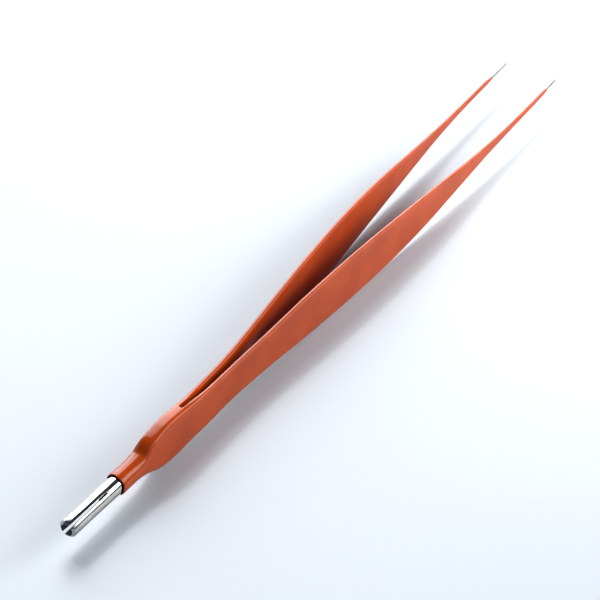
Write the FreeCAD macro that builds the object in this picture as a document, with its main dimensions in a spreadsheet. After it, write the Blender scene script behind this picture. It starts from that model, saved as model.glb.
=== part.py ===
import FreeCAD, Part
import math
import os
import Sketcher
from FreeCAD import Vector

# Monopolar diathermy forceps: a split contact pin, a flared butt and two sprung leaves
# in a dipped insulating coat, with bare steel tips. Millimetres, +Z up.
# The origin is on the pin's axis at the rear rim of the coat. +X runs to the tips and
# +Y to the left leaf. The forceps lie on one side, on the lower edges of the grips.

doc = FreeCAD.newDocument("forceps")
sheet = doc.addObject("Spreadsheet::Sheet", "sizes")
sheet.Label = "sizes"
# Driving dimensions: each is a plain number in its own cell, reached by its alias
SIZES = {
    # Contact pin
    "pin_diameter": 4.0,
    "pin_reach": 16.0,
    "pin_nose_diameter": 2.7,
    "pin_nose_length": 0.5,
    "slit_length": 11.7,
    "slit_mouth_width": 0.65,
    "slit_end_width": 0.40,
    "slit_lean": 54.0,
    "relief_diameter": 3.4,
    "spigot_diameter": 2.6,
    "spigot_length": 7.0,
    # Insulating coat
    "coat_thickness": 0.20,
    "coat_corner": 0.50,
    "lip_depth": 1.0,
    "lip_clearance": 0.20,
    "left_bare_tip": 8.2,
    "right_bare_tip": 5.2,
    # Neck, flare and butt, in bare steel
    "neck_diameter": 4.5,
    "neck_length": 4.2,
    "flare_length": 12.8,
    "butt_half_width": 5.05,
    "butt_flat_length": 1.5,
    "butt_length": 23.8,
    "slot_width": 1.10,
    "slot_length": 6.0,
    # Leaves, in bare steel, on equal steps from the bending line to the tip
    "leaf_length": 156.0,
    "leaf_lean": 2.6,
    "blade_thickness": 0.80,
    "tip_thickness": 0.40,
    "bend_gap": 0.10,
}
BLADE_HALF_WIDTHS = [4.45, 4.15, 4.55, 5.30, 5.65, 5.55, 4.95, 3.90, 2.50, 1.25, 0.55, 0.35, 0.20]
BLADE_BOWS = [0.0, 0.25, 1.05, 1.90, 2.80, 3.70, 4.50, 5.05, 5.40, 5.65, 5.80, 5.85, 5.70]
LAST = len(BLADE_BOWS) - 1
TAPER_START = LAST - 4
for number, half_width in enumerate(BLADE_HALF_WIDTHS):
    SIZES["blade_half_width_%02d" % number] = half_width
for number, bow in enumerate(BLADE_BOWS[1:], 1):
    SIZES["blade_bow_%02d" % number] = bow
for row, (name, value) in enumerate(SIZES.items(), 1):
    cell = "B%d" % row
    sheet.set("A%d" % row, name)
    sheet.set(cell, str(value))
    sheet.setAlias(cell, name)
doc.recompute()

# Sizes that follow from the driving ones, as formulas on the sheet's cells
BLADE = "sizes.blade_thickness"
COAT = "sizes.coat_thickness"
NECK_HALF = "sizes.neck_diameter / 2"
BUTT_THICK_HALF = "(sizes.slot_width / 2 + sizes.coat_thickness + sizes.blade_thickness)"
HINGE_OFF = "(sizes.slot_width / 2 + sizes.coat_thickness + sizes.blade_thickness / 2)"
FLARE_AT = "sizes.neck_length"
FLARE_END = "(sizes.neck_length + sizes.flare_length)"
FLARE_MIDDLE = "(sizes.neck_length + sizes.flare_length / 2)"
FLAT_END = "(sizes.neck_length + sizes.flare_length + sizes.butt_flat_length)"
BEND_AT = "(sizes.neck_length + sizes.butt_length)"
BUTT_END = "(sizes.neck_length + sizes.butt_length - sizes.bend_gap / 2)"
SLOT_AT = "(sizes.neck_length + sizes.butt_length - sizes.slot_length)"
SLOT_MOUTH = "(sizes.neck_length + sizes.butt_length + sizes.slot_width)"
SLIT_END = "(sizes.pin_reach - sizes.slit_length)"
END_WIDE = "sizes.blade_half_width_00"
FLARE_RISE = "(sizes.butt_half_width - sizes.neck_diameter / 2)"
FLARE_FOOT = "(%s - (sizes.flare_length - %s ^ 2 / sizes.flare_length) / 4)" % (FLARE_MIDDLE, FLARE_RISE)
ORIGIN = (-1, 1)
LEVEL_AXIS, UPRIGHT_AXIS = -1, -2


def worth(formula):
    """The number that a formula on the sheet gives."""
    return float(sheet.evalExpression(formula))


def spots(*pairs):
    """Points from pairs of formulas. A minus sign before a formula puts it on the other side."""
    return [Vector(worth(across), worth(up), 0) for across, up in pairs]


def origin_plane(body, role):
    """One of a body's own base planes."""
    for feature in body.Origin.OriginFeatures:
        if feature.Role == role:
            return feature
    raise ValueError("no plane " + role)


def new_body(name):
    """An empty body for one sub-part."""
    body = doc.addObject("PartDesign::Body", name)
    body.Label = name
    return body


def sketch_on(body, name, role):
    """A sketch on one of the body's own base planes."""
    sketch = body.newObject("Sketcher::SketchObject", name)
    sketch.AttachmentSupport = (origin_plane(body, role), [""])
    sketch.MapMode = "FlatFace"
    return sketch


def hold(sketch, kind, *places):
    """One constraint with no number."""
    sketch.addConstraint(Sketcher.Constraint(kind, *places))


def tie(sketch, kind, places, formula):
    """One constraint whose number comes from a formula on the sheet."""
    index = sketch.addConstraint(Sketcher.Constraint(kind, *places, worth(formula)))
    sketch.setExpression("Constraints[%d]" % index, formula)


def tie_point(sketch, point, across, up):
    """Ties a point's distances from the origin to two formulas. None leaves one free."""
    place = sketch.getPoint(*point)
    for kind, offset, formula in (("DistanceX", place.x, across), ("DistanceY", place.y, up)):
        if formula is not None:
            ends = (*point, *ORIGIN) if offset < 0 else (*ORIGIN, *point)
            tie(sketch, kind, ends, formula)


def closed_polygon(sketch, points):
    """Straight edges through points, joined end to end."""
    count = len(points)
    for index, start in enumerate(points):
        sketch.addGeometry(Part.LineSegment(start, points[(index + 1) % count]), False)
    for index in range(count):
        hold(sketch, "Coincident", index, 2, (index + 1) % count, 1)


def joined_ends(sketch, first, second):
    """The ends at which two edges meet. Which end of an arc is which depends on its turn."""
    ends = [(one, other) for one in (1, 2) for other in (1, 2)]

    def gap(pair):
        return (sketch.getPoint(first, pair[0]) - sketch.getPoint(second, pair[1])).Length

    one, other = min(ends, key=gap)
    return first, one, second, other


def pocket_through(body, name, sketch):
    """A cut both ways through the body, from a sketch in its middle."""
    before = body.Shape.Volume
    feature = body.newObject("PartDesign::Pocket", name)
    feature.Profile = sketch
    feature.SideType = "Two sides"
    feature.Type = "ThroughAll"
    feature.Type2 = "ThroughAll"
    must_shrink(body, before, name)


def must_shrink(body, before, name):
    """Stops the build if a cut took nothing away."""
    doc.recompute()
    if not body.Shape.Volume < before:
        raise ValueError(name + " cuts nothing")


def turn_round(body, name, profile):
    """The solid that a profile makes when it is turned round the pin's axis."""
    turned = body.newObject("PartDesign::Revolution", name)
    turned.Profile = profile
    turned.ReferenceAxis = (profile, ["H_Axis"])
    turned.Angle = 360.0
    doc.recompute()


def bore(body, name, radius, start, depth):
    """A round hole along the pin's axis."""
    before = body.Shape.Volume
    sketch = sketch_on(body, name + "_profile", "YZ_Plane")
    sketch.addGeometry(Part.Circle(Vector(), Vector(0, 0, 1), worth(radius)), False)
    hold(sketch, "Coincident", 0, 3, *ORIGIN)
    tie(sketch, "Radius", (0,), radius)
    sketch.setExpression("AttachmentOffset.Base.z", start)
    feature = body.newObject("PartDesign::Pocket", name)
    feature.Profile = sketch
    feature.Type = "Length"
    feature.Reversed = True
    feature.setExpression("Length", depth)
    must_shrink(body, before, name)


def peel(name, skin, steel):
    """The coat alone: the grown form less the steel inside it."""
    coat = doc.addObject("Part::Cut", name)
    coat.Label = name
    coat.Base = skin
    coat.Tool = steel
    return coat


# Contact pin: turned, with a blunt nose, a slit across its middle, a relief inside the
# coat's rim and a spigot into the neck

def build_pin():
    body = new_body("contact_pin")
    profile = sketch_on(body, "pin_profile", "XZ_Plane")
    nose_end = "(sizes.pin_reach - sizes.pin_nose_length)"
    spigot_end = "(sizes.lip_depth + sizes.spigot_length)"
    outline = [
        ("sizes.pin_reach", "0"),
        ("sizes.pin_reach", "sizes.pin_nose_diameter / 2"),
        (nose_end, "sizes.pin_diameter / 2"),
        ("0", "sizes.pin_diameter / 2"),
        ("0", "sizes.relief_diameter / 2"),
        ("sizes.lip_depth", "sizes.relief_diameter / 2"),
        ("sizes.lip_depth", "sizes.spigot_diameter / 2"),
        (spigot_end, "sizes.spigot_diameter / 2"),
        (spigot_end, "0"),
    ]
    points = spots(*outline)
    for point in points[:3]:
        point.x = -point.x
    closed_polygon(profile, points)
    hold(profile, "PointOnObject", 0, 1, LEVEL_AXIS)
    for edge in (0, 5, 7):
        hold(profile, "Vertical", edge)
    for edge in (2, 4, 6, 8):
        hold(profile, "Horizontal", edge)
    hold(profile, "PointOnObject", 3, 1, UPRIGHT_AXIS)
    hold(profile, "PointOnObject", 3, 2, UPRIGHT_AXIS)
    tie_point(profile, (0, 2), *outline[1])
    tie_point(profile, (2, 1), *outline[2])
    tie_point(profile, (4, 1), None, outline[4][1])
    tie_point(profile, (6, 1), *outline[6])
    tie_point(profile, (7, 1), outline[7][0], None)
    turn_round(body, "pin_turned", profile)

    slit = sketch_on(body, "slit_profile", "XZ_Plane")
    mouth_half, end_half = "sizes.slit_mouth_width / 2", "sizes.slit_end_width / 2"
    closed_polygon(slit, spots(
        ("-sizes.pin_reach", "-" + mouth_half),
        ("-" + SLIT_END, "-" + end_half),
        ("-" + SLIT_END, end_half),
        ("-sizes.pin_reach", mouth_half),
    ))
    hold(slit, "Symmetric", 1, 1, 1, 2, LEVEL_AXIS)
    hold(slit, "Symmetric", 3, 1, 3, 2, LEVEL_AXIS)
    tie_point(slit, (1, 2), SLIT_END, end_half)
    tie_point(slit, (3, 1), "sizes.pin_reach", mouth_half)
    pocket_through(body, "slit", slit)
    body.Placement = FreeCAD.Placement(Vector(), FreeCAD.Rotation(Vector(-1, 0, 0), worth("sizes.slit_lean")))
    body.setExpression("Placement.Rotation.Angle", "sizes.slit_lean")
    return body


# Butt: a turned neck and flare with two flats, slotted between the leaves' roots.
# The steel has straight cones. The coat over it has the flare's two equal arcs.

def steel_form(body):
    """The steel's neck, flare and butt, turned, then thinned by two flats with a ramp."""
    profile = sketch_on(body, "butt_side", "XZ_Plane")
    outline = [
        ("sizes.lip_depth", "0"),
        ("sizes.lip_depth", NECK_HALF),
        (FLARE_FOOT, NECK_HALF),
        (FLARE_MIDDLE, "(%s + %s / 2)" % (NECK_HALF, FLARE_RISE)),
        (FLARE_END, "sizes.butt_half_width"),
        (FLAT_END, "sizes.butt_half_width"),
        (BUTT_END, END_WIDE),
        (BUTT_END, "0"),
    ]
    closed_polygon(profile, spots(*outline))
    hold(profile, "PointOnObject", 0, 1, LEVEL_AXIS)
    for edge, direction in ((0, "Vertical"), (1, "Horizontal"), (4, "Horizontal")):
        hold(profile, direction, edge)
    hold(profile, "Vertical", 6)
    hold(profile, "Horizontal", 7)
    tie_point(profile, (1, 1), *outline[1])
    tie_point(profile, (2, 1), outline[2][0], None)
    tie_point(profile, (3, 1), *outline[3])
    tie_point(profile, (4, 1), *outline[4])
    tie_point(profile, (5, 1), outline[5][0], None)
    tie_point(profile, (6, 1), *outline[6])
    turn_round(body, "butt_turned", profile)

    for name, side in (("butt_left_flat", 1), ("butt_right_flat", -1)):
        flat = sketch_on(body, name + "_plan", "XY_Plane")
        outside = "2 * sizes.butt_half_width"
        corners = [
            (FLARE_AT, NECK_HALF),
            (FLARE_MIDDLE, BUTT_THICK_HALF),
            (SLOT_MOUTH, BUTT_THICK_HALF),
            (SLOT_MOUTH, outside),
            (FLARE_AT, outside),
        ]
        points = spots(*corners)
        for point in points:
            point.y = side * point.y
        closed_polygon(flat, points)
        for edge, direction in ((1, "Horizontal"), (2, "Vertical"), (3, "Horizontal"), (4, "Vertical")):
            hold(flat, direction, edge)
        tie_point(flat, (0, 1), *corners[0])
        tie_point(flat, (1, 1), *corners[1])
        tie_point(flat, (3, 1), *corners[3])
        pocket_through(body, name, flat)


def coat_side(body):
    """The coat's neck, flare and butt, turned round the pin's axis."""
    profile = sketch_on(body, "butt_skin_side", "XZ_Plane")
    neck = "(%s + %s)" % (NECK_HALF, COAT)
    wide = "(sizes.butt_half_width + %s)" % COAT
    end_wide = "(%s + %s)" % (END_WIDE, COAT)
    start, neck_start, neck_end, flare_end, flat_end, end, end_axis = spots(
        ("0", "0"),
        ("0", neck),
        (FLARE_AT, neck),
        (FLARE_END, wide),
        (FLAT_END, wide),
        (BUTT_END, end_wide),
        (BUTT_END, "0"),
    )
    for one, other in ((start, neck_start), (neck_start, neck_end), (flare_end, flat_end)):
        profile.addGeometry(Part.LineSegment(one, other), False)
    for one, other in ((flat_end, end), (end, end_axis), (end_axis, start)):
        profile.addGeometry(Part.LineSegment(one, other), False)
    middle = (neck_end + flare_end) / 2
    slope = 2 * math.atan2(flare_end.y - neck_end.y, flare_end.x - neck_end.x)
    radius = (flare_end - neck_end).Length / 4 / math.sin(slope / 2)
    for centre, turn in ((neck_end + Vector(0, radius, 0), -1), (flare_end - Vector(0, radius, 0), 1)):
        base = math.pi / 2 * turn
        angles = sorted((base, base + slope))
        circle = Part.Circle(centre, Vector(0, 0, 1), radius)
        profile.addGeometry(Part.ArcOfCircle(circle, *angles), False)
    neck_line, flat_line, waist_line, hollow, crown = 1, 2, 3, 6, 7
    for pair in ((neck_line, hollow), (hollow, crown), (crown, flat_line)):
        hold(profile, "Tangent", *joined_ends(profile, *pair))
    hold(profile, "Equal", hollow, crown)
    for pair in ((0, neck_line), (flat_line, waist_line), (waist_line, 4), (4, 5), (5, 0)):
        hold(profile, "Coincident", *joined_ends(profile, *pair))
    hold(profile, "PointOnObject", 0, 1, LEVEL_AXIS)
    for edge, direction in ((0, "Vertical"), (neck_line, "Horizontal"), (flat_line, "Horizontal")):
        hold(profile, direction, edge)
    hold(profile, "Vertical", 4)
    hold(profile, "Horizontal", 5)
    tie_point(profile, (neck_line, 1), None, neck)
    tie(profile, "DistanceX", (*ORIGIN, 0, 1), "0")
    tie_point(profile, (neck_line, 2), FLARE_AT, None)
    tie_point(profile, (flat_line, 1), FLARE_END, wide)
    tie_point(profile, (flat_line, 2), FLAT_END, None)
    tie_point(profile, (waist_line, 2), BUTT_END, end_wide)
    turn_round(body, "butt_skin_turned", profile)


def coat_flats(body):
    """The coat's two flats, each led in by one arc over the flare's length."""
    for name, side in (("butt_skin_left_flat", 1), ("butt_skin_right_flat", -1)):
        flat = sketch_on(body, name + "_plan", "XY_Plane")
        neck = "(%s + %s)" % (NECK_HALF, COAT)
        thick = "(%s + %s)" % (BUTT_THICK_HALF, COAT)
        outside = "2 * sizes.butt_half_width"
        corners = [
            (FLARE_END, thick),
            (SLOT_MOUTH, thick),
            (SLOT_MOUTH, outside),
            (FLARE_AT, outside),
            (FLARE_AT, neck),
        ]
        points = spots(*corners)
        for point in points:
            point.y = side * point.y
        for one, other in zip(points, points[1:]):
            flat.addGeometry(Part.LineSegment(one, other), False)
        way = (points[0] + points[4]) / 2 - Vector(0, (points[4].y - points[0].y) / 4, 0)
        flat.addGeometry(Part.Arc(points[4], way, points[0]), False)
        for edge in range(3):
            hold(flat, "Coincident", edge, 2, edge + 1, 1)
        hold(flat, "Coincident", *joined_ends(flat, 3, 4))
        hold(flat, "Tangent", *joined_ends(flat, 4, 0))
        for edge, direction in enumerate(("Horizontal", "Vertical", "Horizontal", "Vertical")):
            hold(flat, direction, edge)
        tie_point(flat, (0, 1), *corners[0])
        tie_point(flat, (2, 1), *corners[2])
        tie_point(flat, (3, 2), *corners[4])
        pocket_through(body, name, flat)


def cut_slot(body, name, grow):
    """The slot between the leaves' roots, with a round end."""
    sketch = sketch_on(body, name + "_profile", "XY_Plane")
    radius = "(sizes.slot_width / 2 + %s)" % grow
    centre_at = "(%s + sizes.slot_width / 2)" % SLOT_AT
    half, centre, mouth = worth(radius), worth(centre_at), worth(SLOT_MOUTH)
    circle = Part.Circle(Vector(centre, 0, 0), Vector(0, 0, 1), half)
    sketch.addGeometry(Part.LineSegment(Vector(mouth, half, 0), Vector(centre, half, 0)), False)
    sketch.addGeometry(Part.ArcOfCircle(circle, math.pi / 2, 3 * math.pi / 2), False)
    sketch.addGeometry(Part.LineSegment(Vector(centre, -half, 0), Vector(mouth, -half, 0)), False)
    sketch.addGeometry(Part.LineSegment(Vector(mouth, -half, 0), Vector(mouth, half, 0)), False)
    hold(sketch, "Tangent", 0, 2, 1, 1)
    hold(sketch, "Tangent", 1, 2, 2, 1)
    hold(sketch, "Coincident", 2, 2, 3, 1)
    hold(sketch, "Coincident", 3, 2, 0, 1)
    hold(sketch, "Horizontal", 0)
    hold(sketch, "Vertical", 3)
    hold(sketch, "PointOnObject", 1, 3, LEVEL_AXIS)
    tie(sketch, "Radius", (1,), radius)
    tie_point(sketch, (1, 3), centre_at, None)
    tie_point(sketch, (3, 1), SLOT_MOUTH, None)
    pocket_through(body, name, sketch)


def build_butt():
    steel = new_body("butt")
    steel_form(steel)
    cut_slot(steel, "butt_slot", COAT)
    bore(steel, "pin_seat", "sizes.spigot_diameter / 2", "sizes.lip_depth", "sizes.spigot_length")

    skin = new_body("butt_skin")
    coat_side(skin)
    coat_flats(skin)
    cut_slot(skin, "butt_skin_slot", "0")
    bore(skin, "lip", "(sizes.pin_diameter / 2 + sizes.lip_clearance)", "0", "sizes.lip_depth")
    bore(skin, "spigot_room", "sizes.spigot_diameter / 2", "sizes.lip_depth", "sizes.spigot_length")
    return steel, peel("butt_insulation", skin, steel)


# Leaves: each is modelled from its bending line, then placed there with the leaves' common lean

def plain_section(body, name, half_thick, half_wide):
    """The steel's cross-section: a rectangle."""
    sketch = sketch_on(body, name, "YZ_Plane")
    closed_polygon(sketch, spots(
        ("-" + half_thick, "-" + half_wide),
        (half_thick, "-" + half_wide),
        (half_thick, half_wide),
        ("-" + half_thick, half_wide),
    ))
    for edge, direction in enumerate(("Horizontal", "Vertical", "Horizontal", "Vertical")):
        hold(sketch, direction, edge)
    tie_point(sketch, (0, 1), half_thick, half_wide)
    tie_point(sketch, (2, 1), half_thick, half_wide)
    return sketch


def cut_section(body, name, half_thick, half_wide, corner):
    """The coat's cross-section: a rectangle with its four corners cut."""
    sketch = sketch_on(body, name, "YZ_Plane")
    inner_thick = "(%s - %s)" % (half_thick, corner)
    inner_wide = "(%s - %s)" % (half_wide, corner)
    closed_polygon(sketch, spots(
        ("-" + inner_thick, "-" + half_wide),
        (inner_thick, "-" + half_wide),
        (half_thick, "-" + inner_wide),
        (half_thick, inner_wide),
        (inner_thick, half_wide),
        ("-" + inner_thick, half_wide),
        ("-" + half_thick, inner_wide),
        ("-" + half_thick, "-" + inner_wide),
    ))
    for edge, axis in ((0, UPRIGHT_AXIS), (4, UPRIGHT_AXIS), (2, LEVEL_AXIS), (6, LEVEL_AXIS)):
        hold(sketch, "Symmetric", edge, 1, edge, 2, axis)
    tie_point(sketch, (0, 2), inner_thick, half_wide)
    tie_point(sketch, (4, 1), inner_thick, half_wide)
    tie_point(sketch, (2, 2), half_thick, inner_wide)
    tie_point(sketch, (6, 1), half_thick, inner_wide)
    return sketch


def leaf_form(body, name, grow, side):
    """A smooth skin through sections at equal steps. The first is at the bending line."""
    sections = []
    for number in range(LAST + 1):
        taper = max(0, number - TAPER_START) / (LAST - TAPER_START)
        steel = "(%s * %s + %s * sizes.tip_thickness)" % (1 - taper, BLADE, taper)
        half_thick = "(%s / 2 + %s)" % (steel, grow)
        half_wide = "(sizes.blade_half_width_%02d + %s)" % (number, grow)
        label = "%s_%02d" % (name, number)
        if grow == "0":
            sketch = plain_section(body, label, half_thick, half_wide)
        else:
            corner = "(sizes.coat_corner * min(%s; %s))" % (half_thick, half_wide)
            sketch = cut_section(body, label, half_thick, half_wide, corner)
        bow = "sizes.blade_bow_%02d" % number if number else "0"
        aside = "%d * (%s + (%s - %s) / 2)" % (side, bow, BLADE, steel)
        along = "%d / %d * sizes.leaf_length" % (number, LAST) if number else "sizes.bend_gap / 2"
        sketch.setExpression("AttachmentOffset.Base.z", along)
        sketch.setExpression("AttachmentOffset.Base.x", aside)
        sections.append(sketch)
    feature = body.newObject("PartDesign::AdditiveLoft", name + "_form")
    feature.Profile = sections[0]
    feature.Sections = sections[1:]
    feature.Ruled = False
    feature.Closed = False
    doc.recompute()


def trim_coat(skin, name):
    """Ends the coat short of the tip, and so leaves the tip bare."""
    sketch = sketch_on(skin, name + "_trim_profile", "XZ_Plane")
    coat_end = "(sizes.leaf_length - sizes.%s_bare_tip)" % name
    beyond = "(sizes.leaf_length + sizes.%s_bare_tip)" % name
    tall = "2 * sizes.butt_half_width"
    closed_polygon(sketch, spots(
        (coat_end, "-" + tall),
        (beyond, "-" + tall),
        (beyond, tall),
        (coat_end, tall),
    ))
    for edge, direction in enumerate(("Horizontal", "Vertical", "Horizontal", "Vertical")):
        hold(sketch, direction, edge)
    tie_point(sketch, (0, 1), coat_end, tall)
    tie_point(sketch, (2, 1), beyond, tall)
    pocket_through(skin, name + "_trim", sketch)


def place_leaf(body, side):
    """Stands the leaf on its bending line."""
    body.Placement = FreeCAD.Placement(Vector(), FreeCAD.Rotation(Vector(0, 0, 1), worth("sizes.leaf_lean")))
    body.setExpression("Placement.Rotation.Angle", "sizes.leaf_lean")
    body.setExpression("Placement.Base.x", BEND_AT)
    body.setExpression("Placement.Base.y", "%d * %s" % (side, HINGE_OFF))


def build_leaf(name, side):
    steel = new_body(name + "_leaf")
    leaf_form(steel, name + "_blade", "0", side)
    skin = new_body(name + "_skin")
    leaf_form(skin, name + "_skin", COAT, side)
    trim_coat(skin, name)
    place_leaf(steel, side)
    place_leaf(skin, side)
    return steel, peel(name + "_insulation", skin, steel)


parts = [build_pin()]
parts.extend(build_butt())
parts.extend(build_leaf("left", 1))
parts.extend(build_leaf("right", -1))
doc.recompute()

for thing in doc.Objects:
    if "Invalid" in thing.State or "Error" in thing.State:
        raise ValueError("failed: " + thing.Name)
for part in parts:
    if part.Shape.isNull() or not part.Shape.isValid():
        raise ValueError("bad shape: " + part.Label)
    if len(part.Shape.Solids) != 1:
        raise ValueError("%s has %d solids" % (part.Label, len(part.Shape.Solids)))

os.makedirs("parts", exist_ok=True)
for part in parts:
    part.Shape.exportStep("parts/%s.step" % part.Label)
    print(part.Label, round(part.Shape.Volume, 2), part.Shape.BoundBox)
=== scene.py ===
import math

import bmesh
import bpy
from mathutils import Matrix, Vector


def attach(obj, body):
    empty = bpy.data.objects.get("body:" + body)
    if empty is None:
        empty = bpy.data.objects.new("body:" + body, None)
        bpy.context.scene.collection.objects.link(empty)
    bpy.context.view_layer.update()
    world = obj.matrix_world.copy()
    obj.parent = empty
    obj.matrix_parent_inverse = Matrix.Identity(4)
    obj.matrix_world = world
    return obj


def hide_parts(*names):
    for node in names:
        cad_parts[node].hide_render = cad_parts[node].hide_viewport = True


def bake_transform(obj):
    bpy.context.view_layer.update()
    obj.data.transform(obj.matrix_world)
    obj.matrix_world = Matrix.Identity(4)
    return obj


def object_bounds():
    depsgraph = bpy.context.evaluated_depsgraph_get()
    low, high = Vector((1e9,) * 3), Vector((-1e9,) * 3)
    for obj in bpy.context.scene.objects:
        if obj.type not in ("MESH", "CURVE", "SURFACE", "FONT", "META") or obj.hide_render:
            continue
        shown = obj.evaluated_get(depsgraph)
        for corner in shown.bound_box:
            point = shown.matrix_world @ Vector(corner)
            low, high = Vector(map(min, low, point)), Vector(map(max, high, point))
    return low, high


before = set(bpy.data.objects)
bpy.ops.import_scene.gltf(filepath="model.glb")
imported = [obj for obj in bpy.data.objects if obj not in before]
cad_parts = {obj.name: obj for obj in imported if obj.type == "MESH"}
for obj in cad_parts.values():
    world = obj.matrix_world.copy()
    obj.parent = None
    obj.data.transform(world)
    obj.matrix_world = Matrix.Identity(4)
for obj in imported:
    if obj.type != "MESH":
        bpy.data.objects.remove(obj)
cad_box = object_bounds()

MM = 0.001
FULL_TURN = 2 * math.pi


# Sizes, in millimetres from the rear rim of the coat

# Contact pin: its profile as (x, radius), and the slit across it
PIN_NOSE = -16.0
PIN_RADIUS = 2.0
PIN_ROOT_RADIUS = 1.85
PIN_SIDES = 96
PIN_PROFILE = [
    (PIN_NOSE, 1.33), (PIN_NOSE + 0.02, 1.36), (PIN_NOSE + 0.47, 1.96), (PIN_NOSE + 0.56, PIN_RADIUS),
    (-12.0, PIN_RADIUS), (-8.0, PIN_RADIUS), (-3.0, PIN_RADIUS), (-0.03, PIN_RADIUS),
    (0.0, 1.97), (0.0, PIN_ROOT_RADIUS), (1.4, PIN_ROOT_RADIUS),
]
PIN_EDGE_BEVEL = 0.05
SLIT_LEAN = math.radians(54.0)
SLIT_END = -4.3
SLIT_END_HALF = 0.20
SLIT_MOUTH_HALF = 0.335

# Coat over the neck, the flare and the butt
NECK_RADIUS = 2.45
FLARE_START = 4.2
FLARE_END = 17.0
BUTT_WIDE = 5.25
BUTT_THICK = 1.75
SLOT_ROOT = 22.0
SLOT_HALF = 0.55
CHEEKS_START = SLOT_ROOT + SLOT_HALF
SEAM = 24.0

# Leaves, which bend and lean from the bending line
BEND_LINE = 28.0
HINGE_ASIDE = 1.15
LEAF_LENGTH = 156.0
LEAF_LEAN = math.radians(2.6)
LEAN_EASE = 3.0
COAT = 0.20
COAT_TAPER = 2.5
TAPERED_COAT = 0.17
BARE = {"left": 8.2, "right": 5.2}
SIDES = {"left": 1, "right": -1}

# Half width of the coated form along the forceps, from the flare's end to the tips
HALF_WIDTHS = [
    (17, 5.25), (18.5, 5.25), (23, 4.97), (28, 4.65), (34.5, 4.38), (41, 4.35), (47.5, 4.50),
    (54, 4.75), (67, 5.50), (80, 5.849), (93, 5.75), (106, 5.15), (119, 4.10), (132, 2.70),
    (145, 1.45), (158, 0.76), (171, 0.56), (184, 0.40),
]
# Half width of the coated form's upper half over the flare, with its crease at the ramp's foot
TOP_WIDTHS = [
    (0, 2.45), (4.2, 2.45), (6.0, 2.53), (7.4, 2.68), (8.0, 2.84), (8.6, 3.22), (9.3, 3.70),
    (10.0, 4.06), (11.0, 4.38), (12.5, 4.67), (14.0, 4.92), (15.5, 5.15), (17.0, 5.25),
]
# How far each leaf bows out from its straight line, from the bending line
BOWS = [
    (-13, 0.0), (0, 0.0), (13, 0.25), (26, 1.05), (39, 1.90), (52, 2.80), (65, 3.70), (78, 4.495),
    (91, 5.05), (104, 5.40), (117, 5.70), (130, 5.92), (143, 6.0), (156, 5.90),
]
# Half thickness of the coated leaf, from the bending line
HALF_THICKS = [(-6, 0.60), (0, 0.60), (104, 0.60), (117, 0.55), (130, 0.50), (143, 0.45), (156, 0.40)]


# Helpers for numbers

def ease(low, high, value):
    """0 below low, 1 above high, and a smooth rise between them."""
    share = min(1.0, max(0.0, (value - low) / (high - low)))
    return share * share * (3 - 2 * share)


def between(first, last, share):
    return first + (last - first) * share


def along_stations(stations, x):
    """A smooth curve through (x, value) stations."""
    if x <= stations[0][0]:
        return stations[0][1]
    if x >= stations[-1][0]:
        return stations[-1][1]
    index = max(i for i, station in enumerate(stations) if station[0] <= x)

    def slope(i):
        low, high = max(i - 1, 0), min(i + 1, len(stations) - 1)
        return (stations[high][1] - stations[low][1]) / (stations[high][0] - stations[low][0])

    (x0, y0), (x1, y1) = stations[index], stations[index + 1]
    step = x1 - x0
    t = (x - x0) / step
    start, end = slope(index) * step, slope(index + 1) * step
    rise = y1 - y0
    return y0 + t * (start + t * (3 * rise - 2 * start - end + t * (start + end - 2 * rise)))


# Sections of the coat over the butt. A ring has four quarters, each from the middle of the
# top or of the underside to the middle of a face.

# Length over which the dipped coat rounds a ridge, and the samples that round it
SOFTNESS = 1.55
SOFT_STEPS = 17
# Points on each quarter: over the slot, beside it, round the ridge and on the flat face
STRIP, TOP, RIDGE, FACE = 4, 4, 10, 10
QUARTER_STEPS = STRIP + TOP + RIDGE + FACE
RING = 4 * QUARTER_STEPS
# Where the ridge's points start and end on a quarter of the round neck
NECK_RIDGE = (0.36, 0.66)
# Share of the half width up to which the lower flare blends into the ramp on top
RAMP_BLEND = 0.6


def flare_run(x):
    return min(1.0, max(0.0, (x - FLARE_START) / (FLARE_END - FLARE_START)))


def half_width(x):
    """Half of the coat's height. The flare rises in two equal arcs."""
    if x > FLARE_END:
        return along_stations(HALF_WIDTHS, x)
    run = flare_run(x)
    rise = 2 * run * run if run < 0.5 else 1 - 2 * (1 - run) * (1 - run)
    return between(NECK_RADIUS, BUTT_WIDE, rise)


def half_thick_of_butt(x):
    run = flare_run(x)
    return between(NECK_RADIUS, BUTT_THICK, 1 - (1 - run) * (1 - run))


def top_rise(x, z):
    """The height of a flare's point. The ramp on top starts later and climbs faster than below."""
    share = along_stations(TOP_WIDTHS, x) / half_width(x)
    return z * between(1.0, share, ease(0.0, RAMP_BLEND * half_width(x), z))


def quarter_lengths(wide, thick):
    """A quarter's round stretch and its flat one."""
    turn = math.asin(min(1.0, thick / wide))
    return wide * turn, wide * math.cos(turn)


def butt_curve(wide, thick, run):
    """A round bar with two flats, walked from the middle of its top. run is in quarters."""
    arc, straight = quarter_lengths(wide, thick)
    turn = int(math.floor(run))
    share = run - turn
    if turn % 2:
        share = 1 - share
    distance = share * (arc + straight)
    if distance <= arc:
        aside, up = wide * math.sin(distance / wide), wide * math.cos(distance / wide)
    else:
        aside, up = min(thick, wide), straight - (distance - arc)
    turn %= 4
    return Vector((aside if turn < 2 else -aside, up if turn in (0, 3) else -up))


def soft_butt_curve(x, run):
    """The same at x along the butt, with its ridges rounded as a dipped coat rounds them."""
    wide, thick = half_width(x), half_thick_of_butt(x)
    reach = SOFTNESS / 2 / sum(quarter_lengths(wide, thick))
    total = Vector((0.0, 0.0))
    for step in range(SOFT_STEPS):
        total += butt_curve(wide, thick, run + reach * (2 * step / (SOFT_STEPS - 1) - 1))
    return total / SOFT_STEPS


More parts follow.
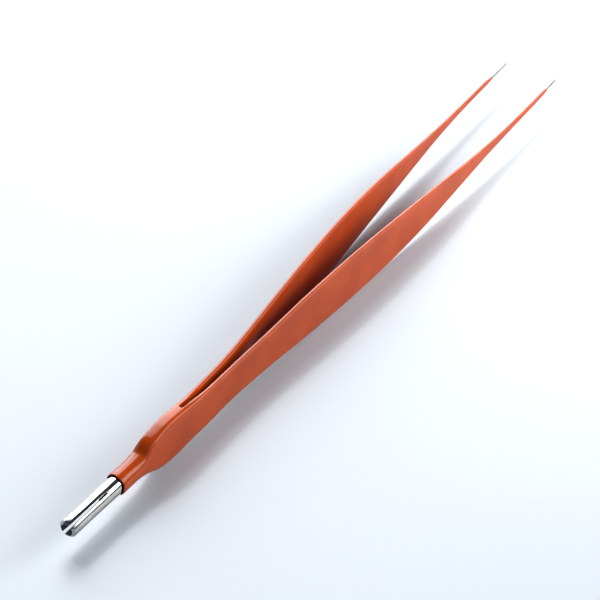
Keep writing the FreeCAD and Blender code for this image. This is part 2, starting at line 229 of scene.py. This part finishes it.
def quarter_share(x, step):
    """Where one of the ring's points stands on its quarter, from 0 at the top to 1 at the side."""
    wide = half_width(x)
    arc, straight = quarter_lengths(wide, half_thick_of_butt(x))
    quarter = arc + straight
    change = ease(FLARE_START - 1, FLARE_END, x)
    slot_edge = math.asin(min(1.0, SLOT_HALF / wide)) * wide / quarter
    ridge_start = between(NECK_RIDGE[0], (arc - SOFTNESS / 2) / quarter, change)
    ridge_end = between(NECK_RIDGE[1], (arc + SOFTNESS / 2) / quarter, change)
    marks = [0.0, slot_edge, ridge_start, ridge_end, 1.0]
    for start, end, count in zip(marks, marks[1:], (STRIP, TOP, RIDGE, FACE)):
        if step <= count:
            return between(start, end, step / count)
        step -= count
    return 1.0


def ring_run(x, step):
    """A ring point's place in quarters, counted from the middle of the top."""
    quarter, step = divmod(step, QUARTER_STEPS)
    if quarter % 2 == 0:
        return quarter + quarter_share(x, step)
    return quarter + 1 - quarter_share(x, QUARTER_STEPS - step)


def butt_ring(x):
    """Points of the coat's section at x, from the middle of the top over the left side."""
    points = []
    for step in range(RING):
        spot = soft_butt_curve(x, ring_run(x, step))
        up = top_rise(x, spot.y) if x < FLARE_END else spot.y
        points.append(Vector((x, spot.x, up)))
    return points


# Sections of the leaves

# Steps across a leaf's inner face, and how many of them round each of its corners
INNER = 20
INNER_CORNER = 4
# A middling leaf, by which the points of every ring are shared out
MIDDLING_THICK, MIDDLING_WIDE, MIDDLING_ROUND = 0.60, 5.0, 0.50
# Rounding as a share of the half thickness. The inner corners start sharp and soften ahead.
ROUNDING = 0.88
SHARP_ROUND = 0.02
INNER_SOFTENS_OVER = 6.0
# How far ahead of the bending line the butt's form has turned into the leaf's
SETTLES_AHEAD = 4.0


def fold(share, half):
    """A point's distance from the nearer end of a run of twice half, and its side of the middle."""
    run = 2 * half * share
    return (run, 1) if run <= half else (2 * half - run, -1)


def inner_corner(thick, wide, inner_round, angle):
    y = inner_round - thick - inner_round * math.sin(angle)
    z = wide - inner_round + inner_round * math.cos(angle)
    return y, z


def outer_spot(thick, wide, outer_round, inner_round, share):
    """A point of a leaf's edges and outer face about its own centre. The outer face is towards +."""
    corner = inner_round * math.pi / 4
    edge_end = corner + 2 * thick - inner_round - outer_round
    arc_end = edge_end + outer_round * math.pi / 2
    run, flip = fold(share, arc_end + wide - outer_round)
    if run <= corner:
        y, z = inner_corner(thick, wide, inner_round, math.pi / 4 * (1 - run / corner))
    elif run <= edge_end:
        y, z = inner_round - thick + run - corner, wide
    elif run <= arc_end:
        angle = (run - edge_end) / outer_round
        y = thick - outer_round + outer_round * math.sin(angle)
        z = wide - outer_round + outer_round * math.cos(angle)
    else:
        y, z = thick, wide - outer_round - (run - arc_end)
    return Vector((y, flip * z))


def inner_spot(thick, wide, inner_round, share):
    """A point of a leaf's inner face, from its lower edge upwards."""
    corner = inner_round * math.pi / 4
    run, flip = fold(share, corner + wide - inner_round)
    if run <= corner:
        y, z = inner_corner(thick, wide, inner_round, math.pi / 4 * (1 + run / corner))
    else:
        y, z = -thick, wide - inner_round - (run - corner)
    return Vector((y, -flip * z))


def mirrored_shares(marks, counts):
    """Shares of a run that mirrors about its middle, with their own steps between the marks."""
    first = []
    for start, end, count in zip(marks, marks[1:], counts):
        first += [between(start, end, step / count) / (2 * marks[-1]) for step in range(count)]
    return first + [0.5] + [1 - share for share in reversed(first)]


def outer_shares():
    """Where the outer points of a leaf's ring stand: many on the corners, few on the face."""
    arc_start = MIDDLING_ROUND * math.pi / 4 + 2 * MIDDLING_THICK - 2 * MIDDLING_ROUND
    arc_end = arc_start + MIDDLING_ROUND * math.pi / 2
    half = arc_end + MIDDLING_WIDE - MIDDLING_ROUND
    return mirrored_shares([0.0, arc_start, arc_end, half], [TOP, RIDGE, FACE])


def inner_shares():
    """The same for the inner face, without its two ends, which the outer points already hold."""
    marks = [0.0, MIDDLING_ROUND * math.pi / 4, MIDDLING_WIDE]
    return mirrored_shares(marks, [INNER_CORNER, INNER // 2 - INNER_CORNER])[1:-1]


OUTER_SHARES = outer_shares()
INNER_SHARES = inner_shares()


def leaf_centre(x_local, side):
    """The leaf's middle line, from its bending line, leaning and bowing."""
    bow = side * along_stations(BOWS, x_local)
    if x_local <= -LEAN_EASE:
        lean_run = 0.0
    elif x_local < LEAN_EASE:
        lean_run = (x_local + LEAN_EASE) ** 2 / (4 * LEAN_EASE)
    else:
        lean_run = x_local
    lean = LEAF_LEAN * ease(-LEAN_EASE, LEAN_EASE, x_local)
    x = BEND_LINE + x_local * math.cos(lean) - bow * math.sin(lean)
    y = side * HINGE_ASIDE + lean_run * math.sin(LEAF_LEAN) + bow * math.cos(lean)
    return x, y, lean


def leaf_ring(x_local, side, inset=0.0):
    """Points of one leaf's section: the outer ones from the top, then the inner ones upwards."""
    x = BEND_LINE + x_local
    wide = half_width(x) - inset
    thick = along_stations(HALF_THICKS, x_local) - inset
    rounding = ROUNDING * min(thick, wide)
    softened = ease(SLOT_ROOT, SLOT_ROOT + INNER_SOFTENS_OVER, x) ** 0.5
    inner_round = between(SHARP_ROUND, rounding, softened)
    centre_x, centre_y, lean = leaf_centre(x_local, side)
    spots = [outer_spot(thick, wide, rounding, inner_round, share) for share in OUTER_SHARES]
    spots += [inner_spot(thick, wide, inner_round, share) for share in INNER_SHARES]
    settle = ease(SLOT_ROOT, BEND_LINE + SETTLES_AHEAD, x)
    ring = []
    for index, spot in enumerate(spots):
        aside = side * spot.x
        point = Vector((centre_x - aside * math.sin(lean), centre_y + aside * math.cos(lean), spot.y))
        if settle < 1 and index < len(OUTER_SHARES):
            from_butt = soft_butt_curve(x, ring_run(x, STRIP + index))
            rear = Vector((x, side * from_butt.x, from_butt.y))
            point = rear.lerp(point, settle)
        ring.append(point)
    return ring


# Helpers for meshes

# Face angle past which an edge of a finished piece is shown sharp
SHARP_ANGLE = 0.6


def place(ring, points):
    for vert, point in zip(ring, points):
        vert.co = point * MM


def ring_edges(bm, ring):
    return [bm.edges.get(pair) for pair in zip(ring, ring[1:] + ring[:1])]


def first_ring(bm, points):
    """A ring of vertices, joined by edges, at the given points."""
    made = bmesh.ops.create_circle(bm, segments=len(points), radius=1.0)["verts"]
    made.sort(key=lambda vert: math.atan2(vert.co.y, vert.co.x))
    place(made, points)
    return made


def next_ring(bm, ring, points):
    """Draws the ring out along the form, then shapes it to the given points."""
    made = bmesh.ops.extrude_edge_only(bm, edges=ring_edges(bm, ring))["geom"]
    new = {item for item in made if isinstance(item, bmesh.types.BMVert)}
    following = []
    for vert in ring:
        others = [edge.other_vert(vert) for edge in vert.link_edges]
        following.append(next(other for other in others if other in new))
    place(following, points)
    return following


def close_ring(bm, ring):
    """Fills a ring with one face."""
    bmesh.ops.edgeloop_fill(bm, edges=ring_edges(bm, ring))


def is_sharp(edge, angle):
    return len(edge.link_faces) == 2 and edge.calc_face_angle() > angle


def soften(bm, edges, size, segments):
    """Rounds edges by a bevel of the given size."""
    bmesh.ops.bevel(
        bm, geom=edges, offset=size * MM, offset_type="OFFSET", segments=segments, profile=0.5,
        affect="EDGES", material=-1, clamp_overlap=True)


def object_from(name, bm):
    """An object of the mesh, in the scene."""
    mesh = bpy.data.meshes.new(name)
    bm.to_mesh(mesh)
    bm.free()
    made = bpy.data.objects.new(name, mesh)
    bpy.context.scene.collection.objects.link(made)
    return made


def finished_piece(name, bm, material):
    """The object of a piece, with its faces outwards, smooth between sharp edges."""
    bmesh.ops.recalc_face_normals(bm, faces=bm.faces)
    for face in bm.faces:
        face.smooth = True
    for edge in bm.edges:
        if is_sharp(edge, SHARP_ANGLE):
            edge.smooth = False
    piece = object_from(name, bm)
    piece.data.materials.append(material)
    return piece


# Shader helpers

# Sockets of a colour mix, which share their names with others
MIX_SHARE, MIX_FIRST, MIX_SECOND, MIX_COLOUR = 0, 6, 7, 2


class Wire:
    """A socket in a tree of nodes. Arithmetic on wires adds Math nodes."""

    def __init__(self, paint, socket):
        self.paint = paint
        self.socket = socket

    def maths(self, operation, *terms):
        return self.paint.node("ShaderNodeMath", {"operation": operation}, dict(enumerate(terms)))

    def __add__(self, other):
        return self.maths("ADD", self, other)

    __radd__ = __add__

    def __sub__(self, other):
        return self.maths("SUBTRACT", self, other)

    def __rsub__(self, other):
        return self.maths("SUBTRACT", other, self)

    def __mul__(self, other):
        return self.maths("MULTIPLY", self, other)

    __rmul__ = __mul__

    def __pow__(self, other):
        return self.maths("POWER", self, other)

    def size(self):
        return self.maths("ABSOLUTE", self)

    def least(self, other):
        return self.maths("MINIMUM", self, other)

    def most(self, other):
        return self.maths("MAXIMUM", self, other)


class Paint:
    """The nodes of one material, or of the world, made by name."""

    def __init__(self, owner):
        owner.use_nodes = True
        self.owner = owner
        self.tree = owner.node_tree
        self.tree.nodes.clear()

    def node(self, kind, settings=None, sockets=None, output=0):
        made = self.tree.nodes.new(kind)
        for key, value in (settings or {}).items():
            setattr(made, key, value)
        for key, value in (sockets or {}).items():
            socket = made.inputs[key]
            if isinstance(value, Wire):
                self.tree.links.new(value.socket, socket)
            else:
                socket.default_value = (*value, 1.0) if socket.type == "RGBA" and len(value) == 3 else value
        return Wire(self, made.outputs[output]) if len(made.outputs) else None

    def place(self):
        """Object coordinates, in millimetres."""
        spot = self.node("ShaderNodeTexCoord", output="Object")
        return self.node("ShaderNodeVectorMath", {"operation": "SCALE"}, {0: spot, "Scale": 1 / MM})

    def split(self, spot):
        """The three parts of a vector."""
        first = self.node("ShaderNodeSeparateXYZ", None, {0: spot})
        return [Wire(self, socket) for socket in first.socket.node.outputs]

    def noise(self, spot, size, detail=3.0, rough=0.5, stretch=(1, 1, 1)):
        """Even noise about 0.5 with blobs of a given size in millimetres."""
        if stretch != (1, 1, 1):
            spot = self.node("ShaderNodeVectorMath", {"operation": "MULTIPLY"}, {0: spot, 1: stretch})
        return self.node(
            "ShaderNodeTexNoise", {"noise_dimensions": "3D"},
            {"Vector": spot, "Scale": 1.0 / size, "Detail": detail, "Roughness": rough})

    def mix(self, share, first, second):
        return self.node(
            "ShaderNodeMix", {"data_type": "RGBA"},
            {MIX_SHARE: share, MIX_FIRST: first, MIX_SECOND: second}, MIX_COLOUR)

    def rise(self, value, low, high):
        """0 below low and 1 above high, smoothly."""
        return self.node(
            "ShaderNodeMapRange", {"interpolation_type": "SMOOTHSTEP"},
            {"Value": value, "From Min": low, "From Max": high, "To Min": 0.0, "To Max": 1.0})

    def fall(self, value, low, high):
        """1 below low and 0 above high, smoothly."""
        return 1 - self.rise(value, low, high)

    def bump(self, height, distance, strength=1.0):
        """Relief with the given depth in millimetres."""
        return self.node(
            "ShaderNodeBump", None, {"Height": height, "Distance": distance * MM, "Strength": strength})

    def surface(self, **sockets):
        """The shader itself, with its sockets by name. Underscores stand for spaces."""
        names = {key.replace("_", " "): value for key, value in sockets.items()}
        shader = self.node("ShaderNodeBsdfPrincipled", None, names)
        self.node("ShaderNodeOutputMaterial", None, {"Surface": shader})
        return self.owner


def new_paint(name):
    return Paint(bpy.data.materials.new(name))


# Finishes. Places are in millimetres, as (start, end) of a soft edge.

def coat_finish():
    """Orange dipped coat with soft waves and a few darker flecks, with painted shade inside the recess of
    its rear rim.
    """
    orange, bright_orange, fleck = (0.34, 0.045, 0.002), (0.39, 0.055, 0.003), (0.25, 0.030, 0.002)
    shade = (0.012, 0.010, 0.010)
    recess_radius, recess_depth = (2.24, 2.30), (2.0, 3.0)
    paint = new_paint("dipped_orange_coat")
    spot = paint.place()
    x, y, z = paint.split(spot)
    radius = (y * y + z * z) ** 0.5
    broad = paint.noise(spot, 9.0, 2.0, 0.5)
    fine = paint.noise(spot, 0.9, 3.0, 0.55)
    colour = paint.mix(paint.rise(broad, 0.35, 0.65), orange, bright_orange)
    colour = paint.mix(paint.rise(fine, 0.62, 0.80) * 0.25, colour, fleck)
    # Painted shade: the recess round the pin inside the rear rim is painted near-black, standing in for the
    # shadow that falls there.
    painted_recess_shade = paint.fall(radius, *recess_radius) * paint.fall(x, *recess_depth)
    colour = paint.mix(painted_recess_shade, colour, shade)
    waves = paint.noise(spot, 5.0, 1.0, 0.4) * 0.55 + fine * 0.10
    return paint.surface(
        Base_Color=colour, Roughness=0.07 + paint.noise(spot, 2.5, 3.0, 0.6) * 0.10, IOR=1.42,
        Normal=paint.bump(waves, 0.06))


def pin_finish():
    """Bright nickel with turned grain, with painted shade at the slit's root and on its walls, and a
    painted dark reflection on the nose's end face.
    """
    nickel, dull_nickel, shade = (0.56, 0.56, 0.53), (0.42, 0.42, 0.38), (0.010, 0.009, 0.008)
    nose_face = (PIN_NOSE + 0.03, PIN_NOSE + 0.07)
    slit_end = (SLIT_END + 0.15, SLIT_END + 0.25)
    root_start, root_half, root_radius = (-5.9, -5.7), (0.19, 0.24), (1.93, 1.97)
    wall_half, wall_radius = (0.38, 0.44), (1.92, 1.97)
    paint = new_paint("bright_nickel")
    spot = paint.place()
    x, y, z = paint.split(spot)
    across = (z * math.cos(SLIT_LEAN) + y * math.sin(SLIT_LEAN)).size()
    radius = (y * y + z * z) ** 0.5
    grain = paint.noise(spot, 0.18, 3.0, 0.6, (0.06, 1, 1))
    smear = paint.noise(spot, 1.6, 3.0, 0.6, (0.35, 1, 1))
    before_end = paint.fall(x, *slit_end)
    # Painted shade: the slit's closed root is painted near-black for its shadow, and the slit's walls
    # inside the pin are partly darkened.
    root = paint.rise(x, *root_start) * paint.fall(across, *root_half)
    root = root * paint.fall(radius, *root_radius) * before_end
    slit_wall_shade = paint.fall(across, *wall_half) * paint.fall(radius, *wall_radius) * before_end
    # Painted shade and painted reflection: the nose's end face is painted near-black for the dark
    # surroundings it mirrors. Metal and roughness follow this mask.
    painted_shade = (paint.fall(x, *nose_face) + root).least(1.0).most(slit_wall_shade * 0.7)
    colour = paint.mix(paint.rise(smear, 0.35, 0.75), nickel, dull_nickel)
    colour = paint.mix(painted_shade, colour, shade)
    return paint.surface(
        Base_Color=colour, Metallic=1 - painted_shade * 0.8,
        Roughness=0.07 + paint.rise(smear, 0.4, 0.8) * 0.12 + grain * 0.06 + painted_shade * 0.45,
        Normal=paint.bump(grain, 0.01, 0.6))


def steel_finish():
    """Satin steel with grain along the leaves."""
    steel, dull_steel = (0.28, 0.27, 0.26), (0.21, 0.20, 0.19)
    paint = new_paint("satin_steel")
    spot = paint.place()
    grain = paint.noise(spot, 0.12, 3.0, 0.6, (0.15, 1, 1))
    smear = paint.noise(spot, 1.2, 2.0, 0.5)
    return paint.surface(
        Base_Color=paint.mix(paint.rise(smear, 0.3, 0.7), steel, dull_steel), Metallic=1.0,
        Roughness=0.34 + grain * 0.12, Normal=paint.bump(grain, 0.01, 0.5))


def floor_finish():
    """A pale table with a faint cloudiness."""
    pale, paler = (0.425, 0.450, 0.478), (0.445, 0.468, 0.495)
    paint = new_paint("pale_table")
    cloud = paint.noise(paint.place(), 90.0, 2.0, 0.5)
    return paint.surface(Base_Color=paint.mix(cloud, pale, paler), Roughness=0.35)


coat_paint = coat_finish()
pin_paint = pin_finish()
steel_paint = steel_finish()


# The contact pin

def pin_bar():
    """The turned bar, from the nose to its end inside the coat."""
    bm = bmesh.new()

    def round_points(x, radius):
        angles = [FULL_TURN * i / PIN_SIDES for i in range(PIN_SIDES)]
        return [Vector((x, radius * math.cos(a), radius * math.sin(a))) for a in angles]

    ring = first_ring(bm, round_points(*PIN_PROFILE[0]))
    close_ring(bm, ring)
    for x, radius in PIN_PROFILE[1:]:
        ring = next_ring(bm, ring, round_points(x, radius))
    close_ring(bm, ring)
    bmesh.ops.recalc_face_normals(bm, faces=bm.faces)
    return object_from("contact_pin_bar", bm)


def slit_cutter():
    """The slit's own form: a wedge across the pin, narrowest at its end."""
    ahead_of_nose, tall = 0.6, 3.0
    wedge = bmesh.new()
    bmesh.ops.create_cube(wedge, size=1.0)
    for vert in wedge.verts:
        at_mouth = vert.co.x < 0
        half = SLIT_MOUTH_HALF if at_mouth else SLIT_END_HALF
        x = PIN_NOSE - ahead_of_nose if at_mouth else SLIT_END
        vert.co = Vector((x, math.copysign(tall, vert.co.y), math.copysign(half, vert.co.z))) * MM
    bmesh.ops.transform(wedge, matrix=Matrix.Rotation(-SLIT_LEAN, 4, "X"), verts=wedge.verts)
    return object_from("slit_cutter", wedge)


def build_pin():
    bar = pin_bar()
    cutter = slit_cutter()
    cut = bar.modifiers.new("slit", "BOOLEAN")
    cut.operation = "DIFFERENCE"
    cut.solver = "EXACT"
    cut.object = cutter
    bpy.context.view_layer.update()
    shaped = bpy.data.meshes.new_from_object(bar.evaluated_get(bpy.context.evaluated_depsgraph_get()))
    bpy.data.objects.remove(bar)
    bpy.data.objects.remove(cutter)

    merge_distance, sharp_angle, inside_coat = 0.002, 0.9, 0.5
    bm = bmesh.new()
    bm.from_mesh(shaped)
    bmesh.ops.remove_doubles(bm, verts=bm.verts, dist=merge_distance * MM)
    sharp = [edge for edge in bm.edges if is_sharp(edge, sharp_angle)]
    shown = [edge for edge in sharp if any(vert.co.x < inside_coat * MM for vert in edge.verts)]
    soften(bm, shown, PIN_EDGE_BEVEL, 2)
    pin = finished_piece("split_pin", bm, pin_paint)
    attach(pin, "root")
    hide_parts("contact_pin")


# The coat over the butt

# Rings of the coat's rear end, as (x, radius, share of the end's unevenness): the recess round
# the pin from its floor, then the rim, then the outside
RIM_RINGS = [
    (1.0, 1.70, 0.0), (1.0, 2.20, 0.0), (0.5, 2.20, 0.6), (0.10, 2.20, 1.0), (0.02, 2.23, 1.0),
    (0.0, 2.28, 1.0), (0.0, 2.34, 1.0), (0.03, 2.40, 1.0), (0.10, 2.44, 1.0), (0.35, 2.45, 0.9),
    (1.0, 2.45, 0.5),
]
# Steps between the rings, which are finer on the ramp
BUTT_START = 2.0
RAMP_START, RAMP_END = FLARE_START + 2, FLARE_START + 7
RAMP_STEP, PLAIN_STEP = 0.2, 0.4
CHEEK_STEPS = 10
LIP_BEVEL = 0.13


def rim_reach(angle):
    """How far ahead of its mean the coat's uneven rear end lies, by the angle round the pin."""
    lobe = 0.50 * math.exp(-((angle - math.radians(200)) / 0.75) ** 2)
    return -lobe + 0.10 * math.sin(2 * angle + 0.6) + 0.05 * math.sin(5 * angle + 1.0)


def rim_ring(x, radius, share):
    points = []
    for point in butt_ring(0.5):
        way = Vector((0, point.y, point.z)).normalized()
        wobble = rim_reach(math.atan2(point.z, point.y) % FULL_TURN) * share
        points.append(Vector((x + wobble, way.y * radius, way.z * radius)))
    return points


def root_points():
    """The last ring of the butt. Between the slot's edges it is drawn back to a half round root."""
    points = butt_ring(CHEEKS_START)
    for point in points:
        if abs(point.y) < SLOT_HALF:
            point.x -= math.sqrt(SLOT_HALF ** 2 - point.y ** 2)
    return points


def part_cheek(bm, outer, side):
    """Gives one side of the slot a ring of its own, closed by a wall along the slot."""
    last = outer[-1]
    wall = bmesh.ops.connect_verts(bm, verts=[outer[0], last])["edges"][0]
    inner = []
    for _ in INNER_SHARES:
        vert = bmesh.utils.edge_split(wall, last, 0.5)[1]
        wall = next(edge for edge in vert.link_edges if edge.other_vert(vert) is not last)
        inner.append(vert)
        last = vert
    place(inner, leaf_ring(CHEEKS_START - BEND_LINE, side)[len(outer):])
    return outer + inner


def open_cheek(bm, cheek):
    """Takes away the face that closes a cheek's ring."""
    loop = set(cheek)
    faces = [face for face in cheek[QUARTER_STEPS].link_faces if set(face.verts) == loop]
    bmesh.ops.delete(bm, geom=faces, context="FACES_ONLY")


def slot_lip(bm):
    """The sharp edges round the slot's root, on top and below."""
    sharp_angle, slot_reach, rim_height = 0.8, 0.60 * MM, 4.2 * MM
    start, end = (SLOT_ROOT - 0.1) * MM, 22.9 * MM
    behind_cheeks = (CHEEKS_START - 0.001) * MM
    lip = []
    for edge in bm.edges:
        spots = [vert.co for vert in edge.verts]
        at_root = all(abs(spot.y) < slot_reach and start < spot.x < end for spot in spots)
        on_rim = all(abs(spot.z) > rim_height for spot in spots)
        behind = min(spot.x for spot in spots) < behind_cheeks
        if at_root and on_rim and behind and is_sharp(edge, sharp_angle):
            lip.append(edge)
    return lip


def build_butt_coat():
    bm = bmesh.new()
    ring = first_ring(bm, rim_ring(*RIM_RINGS[0]))
    close_ring(bm, ring)
    for rim in RIM_RINGS[1:]:
        ring = next_ring(bm, ring, rim_ring(*rim))
    x = BUTT_START
    while x < SLOT_ROOT - 0.01:
        ring = next_ring(bm, ring, butt_ring(x))
        x += RAMP_STEP if RAMP_START <= x <= RAMP_END else PLAIN_STEP
    root = next_ring(bm, ring, root_points())
    close_ring(bm, root)

    span = range(STRIP, 2 * QUARTER_STEPS - STRIP + 1)
    cheeks = [(side, part_cheek(bm, [root[side * i % RING] for i in span], side)) for side in (1, -1)]
    for side, cheek in cheeks:
        open_cheek(bm, cheek)
    for step in range(1 - STRIP, STRIP):
        bmesh.ops.connect_verts(bm, verts=[root[step % RING], root[2 * QUARTER_STEPS - step]])
    for side, ring in cheeks:
        for step in range(1, CHEEK_STEPS + 1):
            x = between(CHEEKS_START, SEAM, step / CHEEK_STEPS)
            ring = next_ring(bm, ring, leaf_ring(x - BEND_LINE, side))
        close_ring(bm, ring)
    soften(bm, slot_lip(bm), LIP_BEVEL, 3)
    coat = finished_piece("coat_butt", bm, coat_paint)
    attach(coat, "root")
    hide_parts("butt_insulation")


# The coats and the steel of the leaves

COAT_STEPS = 150
TAPER_STEPS = 8
STEEL_STEPS = 120
# Where the steel's first ring stands, and its last ones as (distance from the tip, extra inset)
STEEL_START = 0.6
TIP_RINGS = [(0.03, 0.03), (0.0, 0.08)]
TIP_FULL_UNTIL = 0.10


def build_leaf_coat(name, side):
    bm = bmesh.new()
    start = SEAM - BEND_LINE
    end = LEAF_LENGTH - BARE[name]
    full_until = end - COAT_TAPER
    ring = first_ring(bm, leaf_ring(start, side))
    close_ring(bm, ring)
    for step in range(1, COAT_STEPS + 1):
        ring = next_ring(bm, ring, leaf_ring(between(start, full_until, step / COAT_STEPS), side))
    for step in range(1, TAPER_STEPS + 1):
        share = step / TAPER_STEPS
        inset = TAPERED_COAT * share * share
        ring = next_ring(bm, ring, leaf_ring(between(full_until, end, share), side, inset))
    close_ring(bm, ring)
    coat = finished_piece("coat_" + name, bm, coat_paint)
    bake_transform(coat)
    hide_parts(name + "_insulation")


def build_leaf_steel(name, side):
    bm = bmesh.new()
    ring = first_ring(bm, leaf_ring(STEEL_START, side, COAT))
    close_ring(bm, ring)
    for step in range(1, STEEL_STEPS + 1):
        x_local = between(STEEL_START, LEAF_LENGTH - TIP_FULL_UNTIL, step / STEEL_STEPS)
        ring = next_ring(bm, ring, leaf_ring(x_local, side, COAT))
    for from_tip, extra in TIP_RINGS:
        ring = next_ring(bm, ring, leaf_ring(LEAF_LENGTH - from_tip, side, COAT + extra))
    close_ring(bm, ring)
    blade = finished_piece(name + "_blade", bm, steel_paint)
    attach(blade, name + "_jaw")
    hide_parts(name + "_leaf")


build_pin()
build_butt_coat()
for name, side in SIDES.items():
    build_leaf_coat(name, side)
for name, side in SIDES.items():
    build_leaf_steel(name, side)
for name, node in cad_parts.items():
    node.data.materials.clear()
    node.data.materials.append(coat_paint if "insulation" in name else steel_paint)


# Floor, light and camera. Places are in metres.

# The room's colour to the right and to the left, and where one fades into the other
ROOM_RIGHT, ROOM_LEFT = (0.80, 0.86, 0.94), (0.84, 0.92, 1.00)
ROOM_FADE = (-0.3, 0.5)
# Bright and dark stretches of the room, which the glossy coat and the pin mirror: a colour, and
# the directions towards which it fades in. A later one covers those before it.
ROOM_PANELS = {
    "pale_wall": ((1.3, 1.3, 1.3), {"right": (0.06, 0.18), "ahead": (0.20, 0.40), "up": (0.24, 0.28)}),
    "bright_panel": ((5.6, 5.6, 5.5), {
        "right": (0.24, 0.34), "ahead": (0.20, 0.40), "up": (0.24, 0.28), "down": (-0.70, -0.62)}),
    "under_panel": ((0.14, 0.15, 0.17), {"right": (0.30, 0.45), "down": (-0.27, -0.20)}),
    "rear_wall": ((0.16, 0.19, 0.26), {"behind": (0.25, 0.50)}),
    "ceiling": ((0.06, 0.07, 0.10), {"up": (0.45, 0.55), "left": (-0.50, -0.38)}),
    "window": ((6.0, 6.2, 6.4), {"left": (0.20, 0.30), "ahead": (0.22, 0.42), "up": (0.04, 0.14)}),
}
VIEW_GAMMA = 0.90


def build_floor():
    half_size, along, gap = 3.0, 0.1, 0.00002
    bm = bmesh.new()
    bmesh.ops.create_grid(bm, x_segments=1, y_segments=1, size=half_size)
    bmesh.ops.translate(bm, verts=bm.verts, vec=(along, 0, cad_box[0].z - gap))
    table = object_from("table", bm)
    table.data.materials.append(floor_finish())


def soft_light(name, place_at, aim, size, power):
    lamp = bpy.data.lights.new(name, "AREA")
    lamp.shape = "RECTANGLE"
    lamp.size, lamp.size_y = size, size
    lamp.energy = power
    holder = bpy.data.objects.new(name, lamp)
    bpy.context.scene.collection.objects.link(holder)
    holder.location = place_at
    way = Vector(aim) - Vector(place_at)
    holder.rotation_euler = way.to_track_quat("-Z", "Y").to_euler()
    holder.visible_glossy = False
    holder.visible_camera = False


def build_room():
    world = bpy.data.worlds.new("studio")
    bpy.context.scene.world = world
    paint = Paint(world)
    ahead, left, up = paint.split(paint.node("ShaderNodeTexCoord", output="Generated"))
    ways = {"ahead": ahead, "left": left, "up": up}
    ways |= {"behind": ahead * -1.0, "right": left * -1.0, "down": up * -1.0}
    room = paint.mix(paint.rise(left, *ROOM_FADE), ROOM_RIGHT, ROOM_LEFT)
    for colour, edges in ROOM_PANELS.values():
        shares = [paint.rise(ways[way], *edge) for way, edge in edges.items()]
        room = paint.mix(math.prod(shares[1:], start=shares[0]), room, colour)
    glow = paint.node("ShaderNodeBackground", None, {"Color": room, "Strength": 1.0})
    paint.node("ShaderNodeOutputWorld", None, {"Surface": glow})


def build_camera():
    """The camera behind the pin and to its right, looking down along the forceps."""
    turn, drop, roll = math.radians(57.0), math.radians(38.2), math.radians(1.2)
    focal_px, frame_px, sensor_mm, depth_mm = 2254.0, 600.0, 36.0, 454.0
    origin_px = (115.9, 484.6)
    clip_start, clip_end = 0.01, 20.0
    cos_t, sin_t, cos_d, sin_d = math.cos(turn), math.sin(turn), math.cos(drop), math.sin(drop)
    level = Matrix((
        (cos_t, -sin_t, 0.0),
        (-sin_t * sin_d, -cos_t * sin_d, -cos_d),
        (sin_t * cos_d, cos_t * cos_d, -sin_d),
    ))
    right, down, ahead = Matrix.Rotation(roll, 3, "Z") @ level
    across, below = [(pixel - frame_px / 2) * depth_mm / focal_px for pixel in origin_px]
    lens = bpy.data.cameras.new("photo_camera")
    lens.sensor_width = sensor_mm
    lens.lens = focal_px / frame_px * sensor_mm
    lens.clip_start = clip_start
    lens.clip_end = clip_end
    camera = bpy.data.objects.new("photo_camera", lens)
    bpy.context.scene.collection.objects.link(camera)
    turned = Matrix((right, -down, -ahead)).transposed().to_4x4()
    spot = -(right * across + down * below + ahead * depth_mm) * MM
    camera.matrix_world = Matrix.Translation(spot) @ turned
    bpy.context.scene.camera = camera


build_floor()
build_room()
soft_light("key", (0.215, 0.598, 0.91), (0.06, 0.0, 0.0), 0.10, 4.0)
soft_light("fill", (0.24, -0.16, 0.10), (0.16, 0.0, 0.0), 0.12, 0.64)
build_camera()
bpy.context.scene.view_settings.view_transform = "Standard"
bpy.context.scene.view_settings.gamma = VIEW_GAMMA
